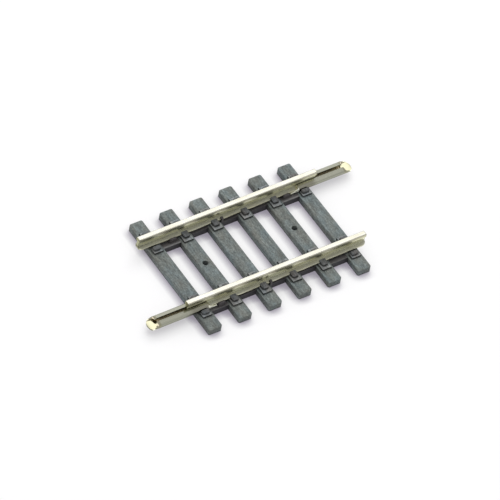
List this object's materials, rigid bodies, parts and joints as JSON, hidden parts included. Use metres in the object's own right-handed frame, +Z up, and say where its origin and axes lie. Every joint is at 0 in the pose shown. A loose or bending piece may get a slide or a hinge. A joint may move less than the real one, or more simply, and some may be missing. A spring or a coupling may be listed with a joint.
{
  "type": "model track section",
  "caption": "Short straight section of model railway track: moulded sleeper strip with chairs, flat-bottom rails, and folded joiners that slide on the rail ends to couple the next section.",
  "frame": {"origin": "middle of the section on the plane of the sleepers' undersides", "axes": "+X along the rails, +Y across them towards the far rail, +Z up"},
  "size_m": [0.0566, 0.0294, 0.0044],
  "materials": {
    "sleeper_plastic": "moulded dark grey plastic with fine wood grain",
    "rail_metal": "drawn nickel silver, polished running surface",
    "joiner_metal": "folded bright nickel silver sheet"
  },
  "bodies": {
    "track": {"sleeper_1": "sleeper_plastic", "sleeper_2": "sleeper_plastic", "sleeper_3": "sleeper_plastic", "sleeper_4": "sleeper_plastic", "sleeper_5": "sleeper_plastic", "sleeper_6": "sleeper_plastic", "far_bridge_1": "sleeper_plastic", "far_bridge_2": "sleeper_plastic", "far_bridge_3": "sleeper_plastic", "far_bridge_4": "sleeper_plastic", "far_bridge_5": "sleeper_plastic", "near_bridge_1": "sleeper_plastic", "near_bridge_2": "sleeper_plastic", "near_bridge_3": "sleeper_plastic", "near_bridge_4": "sleeper_plastic", "near_bridge_5": "sleeper_plastic", "far_rail": "rail_metal", "near_rail": "rail_metal"},
    "far_joiner": {"far_joiner": "joiner_metal"},
    "near_joiner": {"near_joiner": "joiner_metal"}
  },
  "joints": [
    {"name": "far_joiner_slide", "type": "slide", "parent": "track", "child": "far_joiner", "axis": [1, 0, 0], "range_m": [0, 0.0035]},
    {"name": "near_joiner_slide", "type": "slide", "parent": "track", "child": "near_joiner", "axis": [-1, 0, 0], "range_m": [0, 0.0035]}
  ]
}
